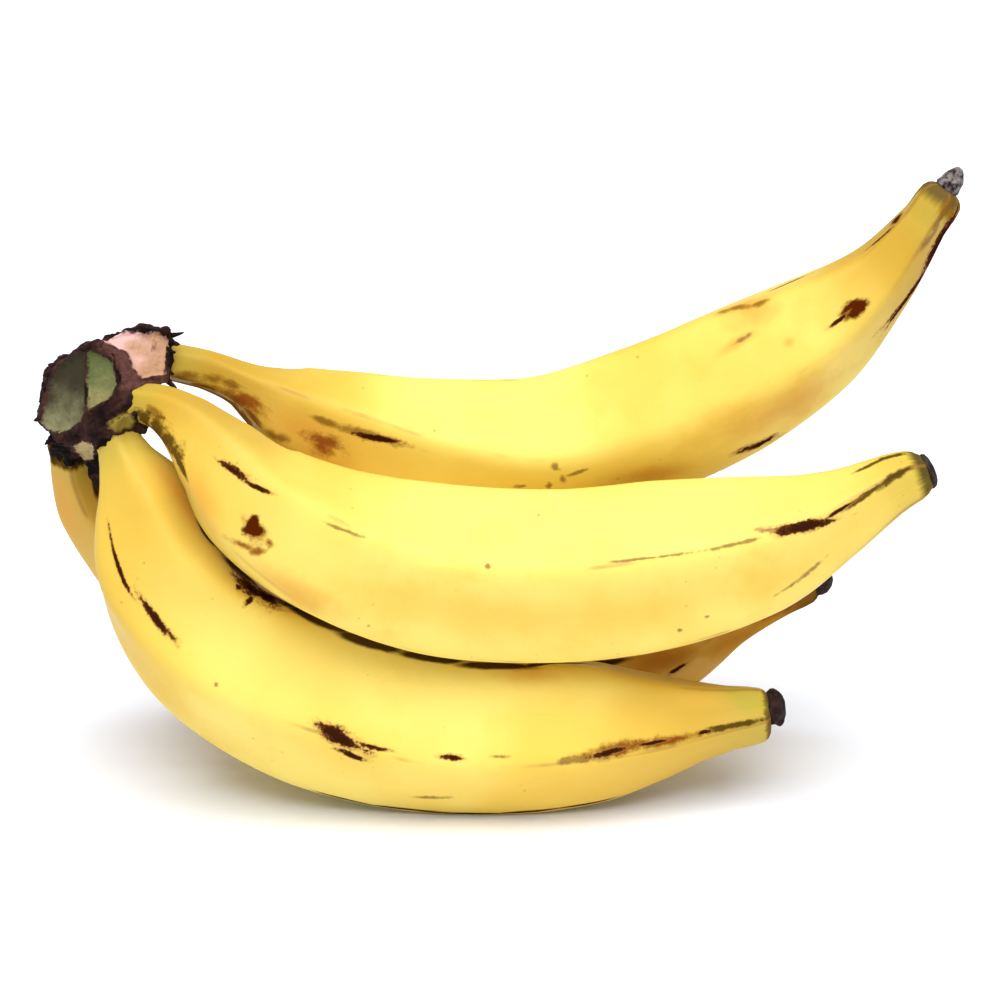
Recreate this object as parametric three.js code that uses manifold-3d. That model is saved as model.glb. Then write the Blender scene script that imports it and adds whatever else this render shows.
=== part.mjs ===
// A hand of four plantains, still joined at the crown where it was cut from the stalk.
// It lies as a cut hand does: on the bellies of its front and back fingers, with the middle
// finger on the front one and the top finger behind the middle one, all tips to the right.
// Units are millimetres. +Z is up, +X runs from the crown to the fingertips, -Y faces the viewer.
// The origin is on the surface under the centre of the hand.

import * as THREE from "three";
import { ConvexGeometry } from "three/addons/geometries/ConvexGeometry.js";
import { mergeVertices } from "three/addons/utils/BufferGeometryUtils.js";
import Module from "manifold-3d";

// Where a finger passes, from its stem to its blossom end. Each station holds the centre x, y
// and z, the mean radius, and the angle of the ridge nearest the viewer, in degrees up from -Y.
const TOP_STATIONS = [
  [-105, 9, 144, 6.2, 50],
  [-94.5, 10, 140.8, 6.6, 48],
  [-84.5, 11, 136, 7.6, 47],
  [-77.5, 12, 131.5, 10.4, 46],
  [-68.5, 13, 126, 14.8, 42],
  [-50.5, 14, 119.5, 18.6, 36],
  [-18.5, 16, 112.8, 21.8, 22],
  [16.5, 16, 112, 24.2, 10],
  [51.5, 16, 123.6, 25, 4],
  [82, 15, 139, 24, -2],
  [106.5, 14, 154.5, 19.4, -8],
  [125, 13, 171.5, 12.2, -13],
  [138, 12, 190, 7.8, -12],
  [145.5, 12, 201.5, 6.4, -10],
];
const MIDDLE_STATIONS = [
  [-115.5, -8, 135.5, 6.4, 50],
  [-108.5, -12, 135, 7.4, 49],
  [-100.5, -18, 132, 9.8, 48],
  [-89.5, -26, 123, 14.6, 45],
  [-76.5, -32, 110, 20, 43],
  [-52.5, -33, 95.5, 24.2, 38],
  [-21, -29, 85.5, 26.8, 27],
  [21, -26, 82, 27.2, 26],
  [57, -24, 85.5, 26.2, 27],
  [88, -22, 92.2, 21.8, 27],
  [112, -21, 102.4, 14.2, 29],
  [129, -20, 111.6, 9.6, 36],
  [139, -19, 115.3, 7.4, 42],
];
const FRONT_STATIONS = [
  [-122, -12, 122.5, 7.2, -60],
  [-119.5, -14, 117, 9.8, -58],
  [-114.5, -17, 106, 16.6, -54],
  [-108.5, -19, 85, 24, -40],
  [-93, -21, 58.5, 26.4, -12],
  [-61.5, -22, 39.3, 28.8, 2],
  [-22, -23.5, 28, 27.5, -1],
  [11.5, -24, 26.6, 26.4, 0],
  [35, -24, 27, 23, 1],
  [51.5, -24, 28.3, 18.2, -1],
  [69.5, -24, 30.5, 12.8, -2],
  [90.5, -24, 32.8, 8.2, 6],
];
const BACK_STATIONS = [
  [-142.5, 15, 111, 6.8, 0],
  [-141.5, 19, 101, 8.4, 0],
  [-138, 24, 89.5, 11.6, 0],
  [-127, 28, 74.5, 15.8, 0],
  [-109, 31, 56, 20.4, 0],
  [-88, 32, 40, 23.4, 0],
  [-58.5, 32, 28, 24.6, 0],
  [-12.5, 32, 24, 24.8, 0],
  [26, 32, 25, 22.8, 0],
  [58.5, 31, 32.5, 16.4, 0],
  [81, 30, 46, 10.8, 0],
  [99, 29, 54.5, 7.8, 0],
  [110.5, 28, 59, 6.2, 0],
];

// Each finger, with the place inside the crown that its collar grows from and the length of the
// dried flower on its end.
const FINGERS = [
  { name: "top", stations: TOP_STATIONS, root: [-114.5, 8, 147], remnantLength: 7 },
  { name: "middle", stations: MIDDLE_STATIONS, root: [-120.5, -2, 139], remnantLength: 3 },
  { name: "front", stations: FRONT_STATIONS, root: [-122.5, -10, 130], remnantLength: 7 },
  { name: "back", stations: BACK_STATIONS, root: [-138.5, 10, 121], remnantLength: 6 },
];

// The section of a finger is a pentagon with rounded ridges.
const FACES = 5;
const RIDGE_SHARPNESS = 9;
const FACE_DEPTH = 0.935; // distance of a face from the centre, as a share of the mean radius
const FINGER_RINGS = 40;
const FINGER_SIDES = 30;
const CLEARANCE_RINGS = 8; // of a finger's rings, the ones that pass near the crown

// The dried flower left on each blossom end.
const REMNANT_SIDES = 7;

// The crown: blocks of tough tissue, each given by the corners of its knife cuts, and a collar
// round the root of every finger.
const HEEL_CORNERS = [
  [-143, -2, 147], [-132, -8, 154], [-133, -13, 128], [-140, -9, 123], [-148, -1, 128],
  [-149, 16, 140], [-137, 18, 148], [-137, 20, 119], [-146, 20, 114], [-151, 16, 126],
];
const SHOULDER_CORNERS = [
  [-133, -6, 154], [-129, -7, 156], [-123, -10, 152], [-121, -13, 144], [-126, -16, 137],
  [-133, -15, 135], [-136, 14, 149], [-127, 14, 150], [-126, 14, 137], [-135, 14, 126],
];
const CAP_CORNERS = [
  [-128, -2, 155], [-125, 1, 156], [-117, 6, 158], [-105, 8, 156], [-103, 4, 152], [-104, -3, 141],
  [-115, -8, 140], [-122, -10, 142], [-130, 18, 149], [-118, 20, 154], [-106, 20, 152], [-106, 18, 142],
];
const WEB_CORNERS = [
  [-132, -13, 136], [-122, -13, 144], [-115, -9, 141], [-112, -12, 134], [-113, -13, 127], [-128, -18, 124],
  [-141, -6, 121], [-134, 6, 113], [-145, 18, 112], [-122, 14, 123], [-117, 10, 134],
];
const COLLAR_SPREAD = 1.5; // how much wider a collar is at its root than the stem it holds

const GAP = 0.3; // between neighbouring pieces
const VIEWER = new THREE.Vector3(0, -1, 0);

const wasm = await Module();
wasm.setup();

function splines(stations) {
  const centres = stations.map(([x, y, z]) => new THREE.Vector3(x, y, z));
  const shapes = stations.map(([, , , radius, ridge]) => new THREE.Vector3(radius, ridge, 0));
  return {
    centre: new THREE.CatmullRomCurve3(centres),
    shape: new THREE.CatmullRomCurve3(shapes, false, "catmullrom", 0.5),
  };
}

// Radius of the rounded pentagon, as a share of the mean radius, at an angle from the ridge.
function sectionRadius(angle) {
  let sum = 0;
  for (let face = 0; face < FACES; face++) {
    const fromFace = angle - ((face + 0.5) * 2 * Math.PI) / FACES;
    sum += Math.pow(Math.max(0, Math.cos(fromFace)), RIDGE_SHARPNESS);
  }
  return FACE_DEPTH * Math.pow(sum, -1 / RIDGE_SHARPNESS);
}

// One ring of points round a finger, at a share of its length from the stem. It can be scaled
// and then grown, and moved on along the finger.
function ring({ centre, shape }, share, sides, { scale = 1, grow = 0, advance = 0 } = {}) {
  const t = centre.getUtoTmapping(share);
  const [radius, ridge] = shape.getPoint(t).toArray();
  const along = centre.getTangent(t);
  const out = VIEWER.clone().addScaledVector(along, -VIEWER.dot(along)).normalize();
  const up = new THREE.Vector3().crossVectors(out, along);
  const middle = centre.getPoint(t).addScaledVector(along, advance);
  const points = [];
  for (let side = 0; side < sides; side++) {
    const angle = (side * 2 * Math.PI) / sides;
    const share = sectionRadius(angle - THREE.MathUtils.degToRad(ridge));
    const reach = scale * radius * share + grow;
    const point = middle.clone();
    point.addScaledVector(out, reach * Math.cos(angle));
    point.addScaledVector(up, reach * Math.sin(angle));
    points.push(point);
  }
  return { points, middle };
}

// A closed skin over a row of rings, with a flat cap at each end. Nothing reaches below the
// surface that the hand lies on, so the bellies are pressed flat where they rest.
function skin(rings) {
  const sides = rings[0].points.length;
  const vertices = [...rings.flatMap(({ points }) => points), rings[0].middle, rings.at(-1).middle];
  const positions = vertices.flatMap(({ x, y, z }) => [x, y, Math.max(z, 0)]);
  const start = vertices.length - 2;
  const end = vertices.length - 1;
  const index = [];
  for (let row = 0; row < rings.length - 1; row++) {
    for (let side = 0; side < sides; side++) {
      const a = row * sides + side;
      const b = row * sides + ((side + 1) % sides);
      index.push(a, a + sides, b, b, a + sides, b + sides);
    }
  }
  const last = (rings.length - 1) * sides;
  for (let side = 0; side < sides; side++) {
    const next = (side + 1) % sides;
    index.push(start, side, next);
    index.push(end, last + next, last + side);
  }
  const geometry = new THREE.BufferGeometry();
  geometry.setAttribute("position", new THREE.Float32BufferAttribute(positions, 3));
  geometry.setIndex(index);
  geometry.computeVertexNormals();
  return geometry;
}

function fingerGeometry(stations) {
  const finger = splines(stations);
  const rings = [];
  for (let row = 0; row < FINGER_RINGS; row++) {
    rings.push(ring(finger, row / (FINGER_RINGS - 1), FINGER_SIDES));
  }
  return skin(rings);
}

// The room that the root of a finger takes up in the crown, with the gap all round it.
function clearance({ stations }) {
  const finger = splines(stations);
  const rings = [ring(finger, 0, FINGER_SIDES, { grow: GAP, advance: -0.9 * GAP })];
  for (let row = 0; row < CLEARANCE_RINGS; row++) {
    rings.push(ring(finger, row / (FINGER_RINGS - 1), FINGER_SIDES, { grow: GAP }));
  }
  return solid(skin(rings));
}

// A shrivelled stub, waisted and then flared, just off the blossom end.
function remnantGeometry(stations, length) {
  const finger = splines(stations);
  const profile = [
    [0.72, GAP],
    [0.62, 0.35 * length],
    [0.7, 0.75 * length],
    [0.4, length],
  ];
  return skin(profile.map(([scale, advance]) => ring(finger, 1, REMNANT_SIDES, { scale, advance })));
}

function solid(geometry) {
  const bare = geometry.clone();
  bare.deleteAttribute("normal");
  bare.deleteAttribute("uv");
  const merged = mergeVertices(bare, 1e-4);
  return new wasm.Manifold(
    new wasm.Mesh({
      numProp: 3,
      vertProperties: new Float32Array(merged.attributes.position.array),
      triVerts: new Uint32Array(merged.index.array),
    }),
  );
}

function block(corners) {
  return solid(new ConvexGeometry(corners.map(([x, y, z]) => new THREE.Vector3(x, y, z))));
}

// A tapered sleeve from inside the crown to the stem of a finger.
function collar({ stations, root }) {
  const mouth = ring(splines(stations), 0, FINGER_SIDES, { advance: -GAP });
  const anchor = new THREE.Vector3(...root);
  const foot = mouth.points.map((point) =>
    point.clone().sub(mouth.middle).multiplyScalar(COLLAR_SPREAD).add(anchor),
  );
  return solid(new ConvexGeometry([...mouth.points, ...foot]));
}

function crownGeometry() {
  const blocks = [HEEL_CORNERS, SHOULDER_CORNERS, CAP_CORNERS, WEB_CORNERS].map(block);
  const joined = [...blocks, ...FINGERS.map(collar)].reduce((whole, next) => whole.add(next));
  const cleared = FINGERS.reduce((whole, finger) => whole.subtract(clearance(finger)), joined);
  const { vertProperties, triVerts } = cleared.getMesh();
  const geometry = new THREE.BufferGeometry();
  geometry.setAttribute("position", new THREE.BufferAttribute(vertProperties, 3));
  geometry.setIndex(new THREE.BufferAttribute(triVerts, 1));
  geometry.computeVertexNormals();
  return geometry;
}

function piece(name, geometry, colour, roughness) {
  const material = new THREE.MeshStandardMaterial({ color: colour, roughness, metalness: 0 });
  const mesh = new THREE.Mesh(geometry, material);
  mesh.name = name;
  return mesh;
}

function fingerWithRemnant({ name, stations, remnantLength }) {
  const group = new THREE.Group();
  group.add(piece(`finger_${name}`, fingerGeometry(stations), 0xf0cc45, 0.5));
  group.add(piece(`remnant_${name}`, remnantGeometry(stations, remnantLength), 0x3a2a20, 0.9));
  return group;
}

const hand = new THREE.Group();
hand.add(piece("crown", crownGeometry(), 0x5d4a35, 0.8));
for (const finger of FINGERS) {
  hand.add(fingerWithRemnant(finger));
}

export default hand;
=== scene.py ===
import math
import random
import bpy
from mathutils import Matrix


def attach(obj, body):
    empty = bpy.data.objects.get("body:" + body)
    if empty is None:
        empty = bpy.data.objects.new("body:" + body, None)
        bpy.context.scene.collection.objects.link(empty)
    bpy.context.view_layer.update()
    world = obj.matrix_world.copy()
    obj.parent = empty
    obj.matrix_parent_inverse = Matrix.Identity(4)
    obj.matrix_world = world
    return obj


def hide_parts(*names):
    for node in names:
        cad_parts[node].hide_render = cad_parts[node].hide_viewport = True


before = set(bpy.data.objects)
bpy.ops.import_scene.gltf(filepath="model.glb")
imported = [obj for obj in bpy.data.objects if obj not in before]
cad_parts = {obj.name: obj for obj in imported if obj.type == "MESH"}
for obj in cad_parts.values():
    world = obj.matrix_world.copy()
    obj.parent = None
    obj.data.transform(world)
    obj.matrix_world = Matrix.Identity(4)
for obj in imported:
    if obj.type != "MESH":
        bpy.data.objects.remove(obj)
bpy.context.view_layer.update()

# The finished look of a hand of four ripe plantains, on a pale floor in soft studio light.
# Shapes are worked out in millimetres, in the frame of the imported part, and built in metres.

from types import SimpleNamespace

import bmesh
import bpy
import numpy as np
from mathutils import Vector, noise

MM = 0.001

# The photograph's view: along +Y, looking down a little, from about 0.9 m.
CAMERA_TARGET = Vector((1.5, -6.0, 101.4)) * MM
CAMERA_DISTANCE = 917 * MM
CAMERA_ELEVATION = math.radians(20)
CAMERA_LENS = 100
SENSOR_WIDTH = 36
PHOTO_SIZE = 1000

# Directions from the camera, its place in millimetres, and its lens in the photograph's pixels.
CAMERA_BACK = np.array([0, -math.cos(CAMERA_ELEVATION), math.sin(CAMERA_ELEVATION)])
CAMERA_UP = np.array([0, math.sin(CAMERA_ELEVATION), math.cos(CAMERA_ELEVATION)])
CAMERA_EYE = (np.array(CAMERA_TARGET) + CAMERA_BACK * CAMERA_DISTANCE) / MM
FOCUS = CAMERA_LENS / SENSOR_WIDTH * PHOTO_SIZE
PIXEL = 0.33  # what a pixel of the photograph covers on the crown, in millimetres

# Studio light: for each softbox, where it shines from, how many degrees wide it looks and how
# bright it is. A dim white room all round fills the shadows.
SOFTBOXES = {
    "overhead": {"from": (0.0, -0.33, 1), "spread": 62, "light": 3.75},
    "front": {"from": (0, -1, 0.3), "spread": 90, "light": 0.45},
}
ROOM_LIGHT = 0.37
FLOOR_WHITE = (0.86, 0.89, 0.97, 1.0)

# Where a finger passes, from its stem to its blossom end. Each station holds the centre x, y
# and z, the mean radius, and the angle of the ridge nearest the camera, in degrees up from -Y.
STATIONS = {
    "top": [
        (-105, 9, 144, 6.2, 50),
        (-94.5, 10, 140.8, 6.6, 48),
        (-84.5, 11, 136, 7.6, 47),
        (-77.5, 12, 131.5, 10.4, 46),
        (-68.5, 13, 126, 14.8, 42),
        (-50.5, 14, 119.5, 18.6, 36),
        (-18.5, 16, 112.8, 21.8, 22),
        (16.5, 16, 112, 24.2, 10),
        (51.5, 16, 123.6, 25, 4),
        (82, 15, 139, 24, -2),
        (106.5, 14, 154.5, 19.4, -8),
        (125, 13, 171.5, 12.2, -13),
        (138, 12, 190, 7.8, -12),
        (145.5, 12, 201.5, 6.4, -10),
    ],
    "middle": [
        (-115.5, -8, 135.5, 6.4, 50),
        (-108.5, -12, 135, 7.4, 49),
        (-100.5, -18, 132, 9.8, 48),
        (-89.5, -26, 123, 14.6, 45),
        (-76.5, -32, 110, 20, 43),
        (-52.5, -33, 95.5, 24.2, 38),
        (-21, -29, 85.5, 26.8, 27),
        (21, -26, 82, 27.2, 26),
        (57, -24, 85.5, 26.2, 27),
        (88, -22, 92.2, 21.8, 27),
        (112, -21, 102.4, 14.2, 29),
        (129, -20, 111.6, 9.6, 36),
        (139, -19, 115.3, 7.4, 42),
    ],
    "front": [
        (-122, -12, 122.5, 7.2, -60),
        (-119.5, -14, 117, 9.8, -58),
        (-114.5, -17, 106, 16.6, -54),
        (-108.5, -19, 85, 24, -40),
        (-93, -21, 58.5, 26.4, -12),
        (-61.5, -22, 39.3, 28.8, 2),
        (-22, -23.5, 28, 27.5, -1),
        (11.5, -24, 26.6, 26.4, 0),
        (35, -24, 27, 23, 1),
        (51.5, -24, 28.3, 18.2, -1),
        (69.5, -24, 30.5, 12.8, -2),
        (90.5, -24, 32.8, 8.2, 6),
    ],
    "back": [
        (-142.5, 15, 111, 6.8, 0),
        (-141.5, 19, 101, 8.4, 0),
        (-138, 24, 89.5, 11.6, 0),
        (-127, 28, 74.5, 15.8, 0),
        (-109, 31, 56, 20.4, 0),
        (-88, 32, 40, 23.4, 0),
        (-58.5, 32, 28, 24.6, 0),
        (-12.5, 32, 24, 24.8, 0),
        (26, 32, 25, 22.8, 0),
        (58.5, 31, 32.5, 16.4, 0),
        (81, 30, 46, 10.8, 0),
        (99, 29, 54.5, 7.8, 0),
        (110.5, 28, 59, 6.2, 0),
    ],
}

# The section of a finger is a pentagon with rounded ridges.
FACES = 5
RIDGE_SHARPNESS = 9
FACE_DEPTH = 0.935
FINGER_ROWS = 300
FINGER_SIDES = 144
BLOSSOM_ROWS = 30
LINE_SAMPLES = 4001  # along a centre line, to measure it
ROOT_DEPTH = 5  # how far a stem runs into the crown

# Slow and quick swells of the peel: height and wavelength in millimetres.
PEEL_SWELLS = ((0.5, 38), (0.1, 9))

# How the blossom end closes: distance from the end of the centre line, and share of the radius.
BLOSSOM_PROFILE = {
    "top": [(-12, 1.0), (-6, 1.08), (-2.5, 1.06), (-0.9, 0.95), (0.2, 0.75), (0.9, 0.45)],
    "middle": [(-12, 1.0), (-7, 1.03), (-4, 1.02), (-1.5, 0.94), (0.6, 0.76), (1.6, 0.5)],
    "front": [(-12, 1.0), (-6, 1.05), (-2, 1.05), (-0.6, 0.97), (0.3, 0.82), (0.8, 0.5)],
    "back": [(-12, 1.0), (-6, 1.05), (-2.5, 1.02), (-0.8, 0.9), (0.2, 0.7), (0.8, 0.4)],
}

# What is left of each flower. Its profile holds the distance past the end of the centre line and
# the share of the radius there. Its offset is how far it stands off that line along X and Z, and
# its lumps how high they are, in millimetres.
REMNANTS = {
    "top": {"profile": [(-0.5, 0.5), (0.5, 0.62), (2, 0.56), (4, 0.5), (6, 0.36), (8, 0.16)],
            "offset": (0.4, 0.6), "lumps": 0.5},
    "middle": {"profile": [(0, 0.72), (1.2, 0.8), (2.2, 0.72), (3, 0.5), (3.4, 0.25)],
               "offset": (0, 0), "lumps": 0.5},
    "front": {"profile": [(-0.5, 0.6), (1, 0.66), (3, 0.7), (4.6, 0.66), (5.8, 0.5), (6.4, 0.25)],
              "offset": (-0.6, 1.2), "lumps": 1.7},
    "back": {"profile": [(-0.5, 0.8), (1, 0.85), (3, 0.8), (5, 0.62), (6.2, 0.3)],
             "offset": (0, 0.6), "lumps": 0.7},
}

REMNANT_ROWS = 26
REMNANT_SIDES = 48
LUMP_WAVE = 3.6
CREASE_WAVE = 1.7
CREASE_SHARE = 0.6  # of the lumps' height

# How far the dark of the crown runs up each stem, and how far the dark of the dried flower runs
# down each blossom end.
ROOT_SHADE = {"top": -4, "middle": -1, "front": -3.2, "back": 1.8}
TIP_SHADE = {"top": 6, "middle": 5, "front": 2, "back": 24}

# How ochre the yellow gets at the stem and at the blossom end.
ROOT_OCHRE = {"top": 1.0, "middle": 0.95, "front": 0.6, "back": 0.8}
# On the back finger the ochre at the blossom end is partly painted shade.
TIP_OCHRE = {"top": 1.0, "middle": 0.3, "front": 0.7, "back": 1.0}

# Marks on the peel, by kind: broad patches of tan, ochre and green, and of rusty orange partly painted
# as shade, brown stains, smears and bruises, dark moss, burns and scars, and painted shade in the crease
# where two fingers meet and along a belly just above the floor. Some stains and moss marks are painted
# shade too. Each holds its place along the finger in millimetres from the stem, its place round it in
# degrees up from -Y, its half length and half width in millimetres, and how many degrees it turns for
# each millimetre along.
MARKS = {
    "top": {
        "tan": [(208, 12, 52, 22, 0)],
        "ochre": [
            (46, 4, 15, 7, 0), (162, -36, 14, 5, -1), (206, -31, 26, 9, -0.6), (213, 64, 11, 7, -0.4),
            (52, -12, 12, 8, -0.4), (205.5, 42.5, 8, 2.2, 0.3), (220, 21, 2, 1.8, 0),
        ],
        # The long stain at -80 degrees along the underside of the stem is painted shade; the others are
        # brown stains.
        "stain_and_shade": [
            (4, -12, 5.5, 2, 1.2), (11.5, -2, 5.5, 2, 1.6), (18.5, 6, 4.5, 1.6, 1),
            (10, -39, 6.6, 2, 3.4), (21, -21, 6, 1.8, -0.2), (30, -27.5, 5, 1.8, -0.8),
            (38.5, -22.5, 5, 1.6, 1.2), (24, -80, 34, 5.4, 0), (43, -58, 10, 3, 1),
            (66, 18, 14, 1.8, -0.2), (53, 20.5, 8, 1.3, -0.19), (286, -20, 4, 3, 0),
            (285, -45, 4, 2.4, 0), (209, 71, 7, 2.2, -0.4), (217, 66, 5, 1.3, 0),
        ],
        "moss_and_shade": [(285, 100, 3.4, 1, 0), (266, 66, 6, 0.7, -0.8)],
        "smear": [
            (131.6, 3.5, 1.9, 1.7, 0), (128.6, -13, 1.3, 2, 0), (133, -9.5, 1.4, 2, 0),
            (138, -5.5, 5, 0.9, 0.4), (120, -13, 3, 1.2, 0), (206, 43, 5, 1, 0.3),
            (275.5, -23, 6, 1.4, -0.7), (281.6, -16.5, 5.6, 1.1, 1.5),
        ],
        "bruise": [
            (53.5, -8, 5.1, 3.4, -0.2), (52.8, -2, 7.8, 3.4, 0), (25.5, -9, 7, 2.8, 0.2),
        ],
        "scar": [
            (69, 16.5, 8, 1.1, 0), (230, 102, 8, 1, 0.8), (237, 10, 4, 0.7, 0),
            (194, -59, 7, 2, -0.7), (257, -67, 12, 1.6, -1), (276, -69, 13, 2.4, 0.6),
            (274, 80, 2.6, 2.3, 0),
        ],
        "burn": [(243.5, 8.5, 5.4, 3, -0.8)],
    },
    "middle": {
        "tan": [(150, -8, 120, 13, 0), (40, -10, 40, 12, 0), (226, -15, 28, 8, -0.2)],
        "ochre": [(43, -22, 10, 5, -0.6), (74, -26, 15, 5, 0)],
        "stain_and_shade": [(12, 6, 6, 2.2, -2)],
        # The five moss marks nearest the stem are painted shade along the underside of the middle
        # finger's stem; the rest are dark olive lines near the blossom end.
        "moss_and_shade": [
            (7.8, -17, 5.6, 2.8, -1.2), (16, -21, 7, 3.6, 0.2), (23.4, -20, 6, 3, 0.3),
            (29, -21, 5, 1.5, -0.5), (33, -23, 4, 0.9, -1), (260.8, 26, 9, 0.8, 0.6),
            (273, 37, 7, 1.2, 1.3), (268, 86, 5, 0.8, 1.2), (275, 94, 5, 0.9, 0.6),
        ],
        "smear": [
            (131.5, 28, 1.3, 1, 0), (80.6, 34, 6.5, 0.7, 0), (186, 28, 19, 0.6, -0.06),
            (214, 27, 14, 0.8, 0), (231, 29, 9, 1.1, -0.6), (228, -27, 5.5, 0.8, 0.35),
            (202, -26, 1, 0.9, 0), (193, -31, 1, 0.9, 0), (236, -24, 7, 1, 0.4),
        ],
        "bruise": [
            (58.2, -19.5, 3.4, 1.5, 1), (62, -16.5, 2.2, 1.9, 2), (63.4, -3.5, 1.6, 1.6, 0),
            (58.8, -3.5, 4, 3.8, 0),
        ],
        "scar": [
            (43.6, 22, 5, 1.5, 1.2), (52.4, 29.5, 4.2, 0.8, 1), (241, 22.5, 11, 1.6, -0.6),
            (252, 24, 6, 0.6, 0.5),
        ],
        "burn": [(57, 3, 1.5, 2.8, 0), (58.2, -4, 2.9, 2.4, 2), (57.5, -0.5, 2, 2.4, 0)],
    },
    "front": {
        "tan": [(60, -62, 60, 14, 0.1), (212, -30, 45, 12, 0), (238, 58, 14, 5, -0.5)],
        # The ochre at 20 mm is partly painted shade on the stem's inner side, under the middle finger.
        "ochre": [(20, 57, 10, 4, 0), (184, 67, 12, 5, 0)],
        "green": [(256, 50, 7, 3.6, -1.4)],
        "stain_and_shade": [(230, 5, 13, 1.6, 0), (212, 8, 12, 2.2, 0.2)],
        "moss_and_shade": [(251, 9, 12, 1, 0.35)],
        "smear": [
            (173, 6.5, 4, 0.9, 0), (211, 5, 11, 2.4, 0.3), (198, 2.5, 9, 1.4, 0),
            (153, -42, 7, 1.6, 0.4), (78, -2, 0.9, 0.9, 0),
        ],
        "bruise": [
            (61.5, 68, 9, 3.6, 0.57), (72, 73, 10, 3, -0.1), (215, 6.5, 9.5, 1.8, 0.25),
            (229, 5, 8, 1.1, 0),
        ],
        # Painted shade in the crease under the middle finger, beside the back finger's stem, and along
        # the belly just above the floor.
        "contact_shade": [
            (37.5, 66, 9.5, 1.9, 0.47), (55, 74, 12, 2.4, 0.83), (76, 78, 15, 3, -0.15),
            (99, 72, 14.5, 2.6, -0.13), (122, 69.5, 16, 2, 0.11), (147, 71.5, 16, 1.9, 0.15),
            (171, 71, 15, 1.8, 0.04), (192.5, 82, 13.5, 1.7, 1), (10.5, -60, 6, 1, 0),
            (129.7, -65, 11, 0.9, -0.13), (145.3, -65, 12, 1, 0.18), (163.5, -65, 14, 1, 0.05),
            (183, -63.5, 14, 1, 0.1), (201, -63, 11, 0.9, -0.06),
        ],
        "scar": [
            (34, -27.5, 11, 0.8, 0.79), (51, -11, 9.6, 1.4, 0.6), (62, 68, 8.5, 4.4, 0.4),
            (72, 72, 8, 4, -0.1), (57, 56, 1.6, 1.3, 0), (65, 56, 1.6, 2.6, 0),
            (121, 4, 9.6, 2.4, -0.3), (133, 3.5, 6.5, 0.9, 0), (127, -6, 4.6, 1.3, -0.4),
            (159, 5, 4.6, 1.1, 0), (209, 5.4, 6, 1, 0.3), (224, 6.5, 5, 0.5, 0),
            (241, 6, 2.4, 0.6, 0),
        ],
    },
    "back": {
        # The second ochre patch and the rusty patches below are orange-brown with painted shade over the
        # back finger's blossom half.
        "ochre": [(18, -44, 14, 6, -0.4), (246, -20, 44, 26, -1)],
        "rust_and_shade": [(249, 6, 16, 6, -1), (271, -39, 20, 7, -2), (285, -37, 18, 5, 1)],
        "stain_and_shade": [(298, -20, 12, 6, -1)],
        "bruise": [(286, -17, 12, 3, -1.1)],
        # Painted shade beside the front finger's stem and in the crease under the middle finger.
        "contact_shade": [(4, 80, 3.4, 2.2, -8), (10.5, 52, 6.5, 1.6, -2.6), (220, 23, 15, 1.6, -0.1)],
        "scar": [(249, -10, 3.6, 1.2, 0)],
    },
}

# The sides that the photograph doesn't show have a few scars too, strewn at random: how many, and
# the limits of their place as a share of the length, their angle, half length and half width.
HIDDEN_MARKS = 7
HIDDEN_SHARES = (0.15, 0.93)
HIDDEN_ANGLES = (120, 290)
HIDDEN_LENGTHS = (3, 10)
HIDDEN_WIDTHS = (0.8, 2)

# The crown: blocks of tough tissue, each given by the corners of its knife cuts, and the place
# in them that each finger's stem grows from.
CROWN_BLOCKS = {
    "heel": [
        (-143, -2, 147), (-132, -8, 154), (-133, -13, 128), (-142, -9, 123), (-150.5, -1, 127),
        (-150, 16, 140), (-137, 18, 148), (-137, 20, 119), (-147, 20, 114), (-152, 16, 126),
    ],
    "shoulder": [
        (-133, -6, 154), (-129, -7, 156), (-123, -10, 152), (-121, -13, 144), (-126, -16, 137),
        (-133, -15, 135), (-136, 14, 149), (-127, 14, 150), (-126, 14, 137), (-135, 14, 126),
    ],
    "cap": [
        (-128, -2, 155), (-125, 1, 156), (-117, 6, 157.5), (-108, 8, 156), (-106, 4, 152),
        (-107, -3, 141), (-115, -8, 140), (-122, -10, 142), (-130, 18, 149), (-118, 20, 154),
        (-108, 20, 152), (-108, 18, 142),
    ],
    "web": [
        (-132, -13, 136), (-122, -13, 144), (-115, -9, 141), (-112, -12, 134), (-113, -13, 127),
        (-128, -18, 124), (-141, -6, 121), (-134, 6, 113), (-145, 18, 112), (-122, 14, 123),
        (-117, 10, 134),
    ],
    # A dark wedge of crown tissue down between the back and front stems, standing in for the shade in
    # that gap.
    "shade_wedge": [
        (-140, 8, 121), (-126, 8, 122), (-139, 1, 119), (-127, -3, 120), (-136, 11, 106),
        (-130, 6, 104), (-134, 13, 97), (-131, 12, 97),
    ],
}
ROOTS = {
    "top": (-114.5, 8, 147),
    "middle": (-120.5, -2, 139),
    "front": (-122.5, -10, 130),
    "back": (-138.5, 10, 121),
}
COLLAR_AT = {"top": -2.5, "middle": 1, "front": -2.5, "back": 0}  # place along each stem
COLLAR_SPREAD = 1.5
COLLAR_SIDES = 32
CROWN_VOXEL = 0.5
CROWN_EASING = 4  # passes of smoothing after the blocks melt together

# The crown's relief: for each noise its height and wavelength in millimetres, and its seed.
BARK_RIDGES = (2, 5, 3)
BARK_CRACKS = (0.9, 2.2, 4)
BARK_LUMPS = (0.7, 12, 2)
BARK_SINK = 0.6
CUT_GRAIN = (0.3, 2.5, 5)
CUT_GRAIN_STRETCH = (1.5, 1.5, 0.4)

# A knife cut starts to sink a little outside its outline and stops a little way in.
CUT_LIP = 0.3
CUT_REACH = 1.2
CUT_SLOPE = 1.1

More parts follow.
